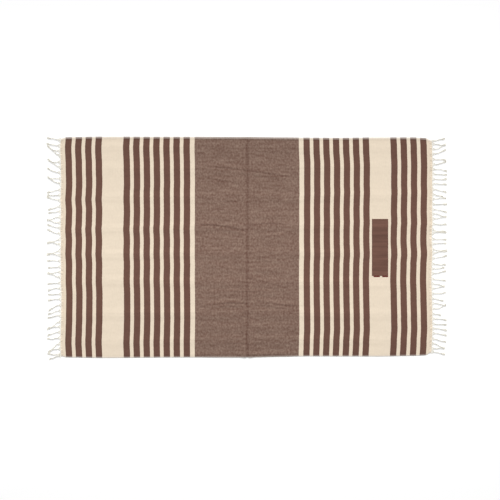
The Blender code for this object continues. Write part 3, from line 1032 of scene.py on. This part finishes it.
class Nodes:
    """Short calls for the nodes of one material."""

    def __init__(self, material):
        self.tree = material.node_tree
        self.shader = self.tree.nodes["Principled BSDF"]

    def feed(self, socket, value):
        if isinstance(value, bpy.types.NodeSocket):
            self.tree.links.new(value, socket)
        else:
            socket.default_value = value

    def maths(self, operation, *values, clamp=False):
        node = self.tree.nodes.new("ShaderNodeMath")
        node.operation = operation
        node.use_clamp = clamp
        for socket, value in zip(node.inputs, values):
            self.feed(socket, value)
        return node.outputs[0]

    absolute = partialmethod(maths, "ABSOLUTE")
    add = partialmethod(maths, "ADD")
    subtract = partialmethod(maths, "SUBTRACT")
    times = partialmethod(maths, "MULTIPLY")
    over = partialmethod(maths, "DIVIDE")
    times_add = partialmethod(maths, "MULTIPLY_ADD")

    def step(self, value, softness):
        """0 where the value is negative and 1 where it is positive, softly in between."""
        return self.times_add(value, 1.0 / softness, 0.5, clamp=True)

    def band(self, value, middle, half, softness):
        """1 where the value lies within a half width of a middle and 0 elsewhere."""
        off_middle = self.absolute(self.subtract(value, middle))
        return self.step(self.subtract(half, off_middle), softness)

    def total(self, first, *others):
        """Sum of pairs of a value and its weight."""
        result = self.times(*first)
        for value, weight in others:
            result = self.times_add(value, weight, result)
        return result

    def flat_place(self):
        """Place on the flat cloth in metres, along and across."""
        source = self.tree.nodes.new("ShaderNodeUVMap")
        source.uv_map = "Weave"
        parts = self.tree.nodes.new("ShaderNodeSeparateXYZ")
        self.feed(parts.inputs[0], source.outputs[0])
        return parts.outputs[0], parts.outputs[1]

    def attribute(self, name):
        node = self.tree.nodes.new("ShaderNodeAttribute")
        node.attribute_name = name
        return node.outputs["Fac"]

    def streaks(self, place, size_along, size_across, detail, layer):
        """Noise from about -0.5 to 0.5, stretched to a size along and across."""
        together = self.tree.nodes.new("ShaderNodeCombineXYZ")
        self.feed(together.inputs[0], self.over(place[0], size_along))
        self.feed(together.inputs[1], self.over(place[1], size_across))
        together.inputs[2].default_value = layer
        texture = self.tree.nodes.new("ShaderNodeTexNoise")
        self.feed(texture.inputs["Vector"], together.outputs[0])
        texture.inputs["Scale"].default_value = 1.0
        texture.inputs["Detail"].default_value = detail
        return self.subtract(texture.outputs[0], 0.5)

    def noises(self, place, rows):
        """Noises of the rows of a table, and their sum by weight."""
        values = [self.streaks(place, *row[:-1]) for row in rows]
        return values, self.total(*((value, row[-1]) for value, row in zip(values, rows)))

    def blend(self, share, a, b):
        """Colour between two colours."""
        node = self.tree.nodes.new("ShaderNodeMix")
        node.data_type = "RGBA"
        for socket, value in zip((node.inputs[0], node.inputs[6], node.inputs[7]), (share, a, b)):
            self.feed(socket, (*value, 1.0) if isinstance(value, tuple) else value)
        return node.outputs[2]

    def brighten(self, colour, factor):
        node = self.tree.nodes.new("ShaderNodeVectorMath")
        node.operation = "SCALE"
        self.feed(node.inputs[0], colour)
        self.feed(node.inputs["Scale"], factor)
        return node.outputs[0]

    def finish(self, colour, yarn, height, depth):
        """Colour, bump, and roughness that follows the unevenness of the yarn."""
        self.feed(self.shader.inputs["Base Color"], colour)
        roughness = self.times_add(yarn, ROUGHNESS_UNEVEN, COTTON_ROUGHNESS, clamp=True)
        self.feed(self.shader.inputs["Roughness"], roughness)
        bump = self.tree.nodes.new("ShaderNodeBump")
        bump.inputs["Strength"].default_value = 1.0
        bump.inputs["Distance"].default_value = depth
        self.feed(bump.inputs["Height"], height)
        self.feed(self.shader.inputs["Normal"], bump.outputs[0])


def new_material(name, inputs):
    material = bpy.data.materials.new(name)
    material.use_nodes = True
    shader = material.node_tree.nodes["Principled BSDF"]
    for socket, value in inputs.items():
        shader.inputs[socket].default_value = value
    return material


def new_cotton(name):
    """Material of matt cotton, without its colour and weave."""
    material = new_material(name, {
        "Metallic": 0.0, "Specular IOR Level": COTTON_GLOSS, "Sheen Weight": COTTON_SHEEN,
        "Sheen Roughness": SHEEN_ROUGHNESS})
    return material, Nodes(material)


def plain_weave(nodes, place):
    """Height of a plain weave: warp and weft threads that pass over each other in turn."""
    waves = []
    for turned in (place, place[::-1]):
        wander = nodes.times(nodes.streaks(turned, *THREAD_PATHS), THREAD_WANDER)
        turns = nodes.times(nodes.add(turned[0], wander), math.pi / THREAD_PITCH)
        waves.append(nodes.maths("SINE", turns))
    return nodes.absolute(nodes.times(*waves))


def stripe_group(nodes, distance, start, count):
    """1 on the stripes of a group, measured from the fold line, and 0 elsewhere."""
    start -= (STRIPE_PITCH - STRIPE_WIDTH) / 2
    turns = nodes.maths("FRACT", nodes.over(nodes.subtract(distance, start), STRIPE_PITCH))
    stripe = nodes.band(nodes.times(turns, STRIPE_PITCH), STRIPE_PITCH / 2, STRIPE_WIDTH / 2,
                        STRIPE_SOFTNESS)
    half = count * STRIPE_PITCH / 2
    return nodes.times(stripe, nodes.band(distance, start + half, half, STRIPE_SOFTNESS))


def stripe_pattern(nodes, distance):
    """1 on brown weft and 0 on cream: in the middle panel alone, and in the whole cloth."""
    panel = nodes.step(nodes.subtract(PANEL_HALF, distance), STRIPE_SOFTNESS)
    stripes = [stripe_group(nodes, distance, *group) for group in STRIPE_GROUPS]
    return panel, nodes.maths("MAXIMUM", panel, nodes.maths("MAXIMUM", *stripes))


def hem_stitches(nodes, along, inside):
    """1 on the stitches that hold the hems, 0 elsewhere."""
    turns = nodes.maths("FRACT", nodes.over(along, STITCH_PITCH))
    return nodes.times(nodes.band(inside, *STITCH_LINE), nodes.band(turns, *STITCH_DASH))


def side_shade(nodes, across, inside, brown):
    """Painted shade beside the hems, and how much darker the brown weft is towards the sides."""
    hem_dark = nodes.times_add(brown, HEM_BROWN_DARK, HEM_DARK)
    # The brown weft is darker towards the long sides and a little lighter in the middle.
    outwards = nodes.maths("POWER", nodes.over(across, HALF_WIDTH), 2.0)
    darker_outwards = nodes.subtract(nodes.times(outwards, SIDES_DARK), MIDDLE_LIGHT)
    return nodes.total((nodes.band(inside, *HEM_SHADE), hem_dark), (brown, darker_outwards))


def end_shade(nodes, place, distance):
    """How much darker the cloth is at its loose ends: painted shade between their threads, and the
    last weft.
    """
    woven_end = (LEFT_LENGTH / LEFT_STRETCH + RIGHT_LENGTH / RIGHT_STRETCH) / 2
    from_end = nodes.subtract(woven_end, distance)
    loose = nodes.step(nodes.subtract(LOOSE_END, from_end), LOOSE_SOFTNESS)
    # Painted shade in the gaps between the loose weft threads.
    gaps = nodes.times(nodes.streaks(place, *LOOSE_GAPS), LOOSE_DARK)
    return nodes.total((loose, gaps), (nodes.band(from_end, *LAST_WEFT), LAST_WEFT_DARK))


def striped_cotton():
    """The towel's cloth: cream warp, with cream and brown weft in stripes."""
    material, nodes = new_cotton("striped_cotton_weave")
    place = nodes.flat_place()
    along, across = place
    wander = nodes.times(nodes.streaks(place, *STRIPE_EDGES), STRIPE_WANDER)
    distance = nodes.add(nodes.absolute(along), wander)
    inside = nodes.subtract(HALF_WIDTH, nodes.absolute(across))
    panel, brown = stripe_pattern(nodes, distance)
    # Painted shade along the centre fold line, darker and browner in the colour.
    fold = nodes.band(along, *FOLD_SHADE_LINE)
    # Painted shade along the creases' troughs, darker and browner in the colour.
    crease_shade = nodes.attribute("CreaseShade")
    far_rim = nodes.step(nodes.add(across, FAR_SELVEDGE - HALF_WIDTH), SELVEDGE_SOFTNESS)
    near_rim = nodes.step(nodes.subtract(NEAR_SELVEDGE - HALF_WIDTH, across), SELVEDGE_SOFTNESS)
    stitches = hem_stitches(nodes, along, inside)
    (weft, warp, slubs, _), uneven = nodes.noises(place, CLOTH_NOISES)

    # The painted shade of the fold line and of the creases also takes cream out of the panel's
    # yarn.
    changes = nodes.total(*zip((warp, slubs, fold, crease_shade), CREAM_CHANGES))
    flecks = nodes.times(nodes.maths("ADD", changes, PANEL_CREAM, clamp=True), panel)
    yarn = nodes.blend(nodes.subtract(brown, flecks), CREAM, BROWN)
    pale = nodes.subtract(SELVEDGE_SHARE, nodes.times(brown, SELVEDGE_BROWN))
    yarn = nodes.blend(nodes.times(nodes.add(far_rim, near_rim), pale), yarn, SELVEDGE_PALE)

    strength = nodes.times_add(brown, 1.0 - TONE_ON_CREAM, TONE_ON_CREAM)
    tone = nodes.times_add(uneven, strength, 1.0)
    # Painted light on the near rim, painted shade along the fold line and in the creases, and
    # darker stitches.
    tone = nodes.add(tone, nodes.total(*zip((near_rim, fold, crease_shade, stitches), MARK_TONES)))
    tone = nodes.subtract(tone, side_shade(nodes, across, inside, brown))
    tone = nodes.subtract(tone, end_shade(nodes, place, distance))
    relief = nodes.total((weft, WEFT_RELIEF), (stitches, STITCH_RELIEF))
    height = nodes.add(plain_weave(nodes, place), relief)
    nodes.finish(nodes.brighten(yarn, tone), weft, height, CLOTH_RELIEF)
    return material


def brown_cotton():
    """The patch's cloth, plain woven in one colour."""
    material, nodes = new_cotton("brown_cotton_weave")
    place = nodes.flat_place()
    (weft, warp, _), uneven = nodes.noises(place, PATCH_NOISES)
    from_end = nodes.subtract(PATCH_LENGTH / 2, nodes.absolute(place[1]))
    turned = nodes.step(nodes.subtract(2 * PATCH_TURNING, from_end), TURNING_SOFTNESS)
    tone = nodes.times_add(turned, TURNING_LIGHT, nodes.add(uneven, 1.0))
    colour = nodes.brighten(PATCH_BROWN, tone)
    nodes.finish(colour, warp, nodes.add(plain_weave(nodes, place), weft), PATCH_RELIEF)
    return material


def yarn_cotton(name, colour, unevenness):
    """Twisted yarn of one colour, with its fine fibres."""
    material, nodes = new_cotton(name)
    source = nodes.tree.nodes.new("ShaderNodeTexCoord")
    parts = nodes.tree.nodes.new("ShaderNodeSeparateXYZ")
    nodes.feed(parts.inputs[0], source.outputs["Object"])
    (fibres, _), uneven = nodes.noises(parts.outputs[:2], YARN_NOISES)
    shade = nodes.brighten(colour, nodes.times_add(uneven, unevenness, 1.0))
    nodes.finish(shade, fibres, fibres, YARN_RELIEF)
    return material


def make_floor():
    mesh = bpy.data.meshes.new("floor")
    corners = [(x * FLOOR_HALF, y * FLOOR_HALF, -FLOOR_DROP)
               for x, y in ((-1, -1), (1, -1), (1, 1), (-1, 1))]
    mesh.from_pydata(corners, [], [(0, 1, 2, 3)])
    material = new_material("floor_white", {
        "Base Color": (FLOOR_WHITE, FLOOR_WHITE, FLOOR_WHITE, 1.0),
        "Roughness": FLOOR_ROUGHNESS, "Specular IOR Level": FLOOR_GLOSS,
        "Emission Color": (1.0, 1.0, 1.0, 1.0), "Emission Strength": FLOOR_GLOW})
    floor = new_object("floor", mesh, material)


def make_lights():
    world = bpy.data.worlds.new("studio")
    world.use_nodes = True
    background = world.node_tree.nodes["Background"]
    background.inputs["Color"].default_value = (1.0, 1.0, 1.0, 1.0)
    background.inputs["Strength"].default_value = WORLD_STRENGTH
    bpy.context.scene.world = world

    lamp = bpy.data.lights.new("key", "SUN")
    lamp.energy = KEY_STRENGTH
    lamp.angle = math.radians(KEY_SPREAD)
    key = place_in_scene("key", lamp)
    key.rotation_euler = (math.radians(KEY_ELEVATION - 90), 0.0, math.radians(KEY_BEARING))

    lamp = bpy.data.lights.new("top", "AREA")
    lamp.shape = "RECTANGLE"
    lamp.size, lamp.size_y = TOP_SIZE
    lamp.energy = TOP_POWER
    top = place_in_scene("top", lamp)
    top.location = (0.0, 0.0, TOP_HEIGHT)
    top.visible_camera = False


def make_camera():
    data = bpy.data.cameras.new("camera")
    data.lens = CAMERA_LENS
    data.sensor_width = CAMERA_SENSOR
    camera = place_in_scene("camera", data)
    camera.location = (*CAMERA_PLACE, PHOTO_WIDTH * CAMERA_LENS / CAMERA_SENSOR)
    bpy.context.scene.camera = camera
    bpy.context.scene.view_settings.view_transform = "Standard"


def towel_shift():
    """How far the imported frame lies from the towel's own places."""
    low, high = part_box("patch")
    middle = (low + high) / 2
    return Vector((middle.x - PATCH_MIDDLE[0], middle.y - PATCH_MIDDLE[1], 0.0))


def main():
    make_camera()
    make_lights()
    make_floor()
    shift = towel_shift()
    cream_yarn = yarn_cotton("cream_yarn", FRINGE_CREAM, FRINGE_UNEVEN)
    cloth = make_cloth(shift, striped_cotton())
    left = make_fringe(-1, "towel_fringe_left", shift, cream_yarn)
    right = make_fringe(1, "towel_fringe_right", shift, cream_yarn)
    patch = make_patch(shift, brown_cotton())
    sewing = make_sewing(shift, yarn_cotton("brown_thread", PATCH_BROWN, THREAD_UNEVEN))
    tacks = make_tacks(shift, yarn_cotton("red_thread", TACK_RED, THREAD_UNEVEN))

    for piece in (cloth, left, right, patch, sewing, tacks):
        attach(piece, "root")
    for piece, node, slot in (
            (cloth, "cloth", "striped_cotton"), (left, "fringe_left", "cream_cotton"),
            (right, "fringe_right", "cream_cotton"), (patch, "patch", "brown_cotton")):
        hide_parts(node)


main()
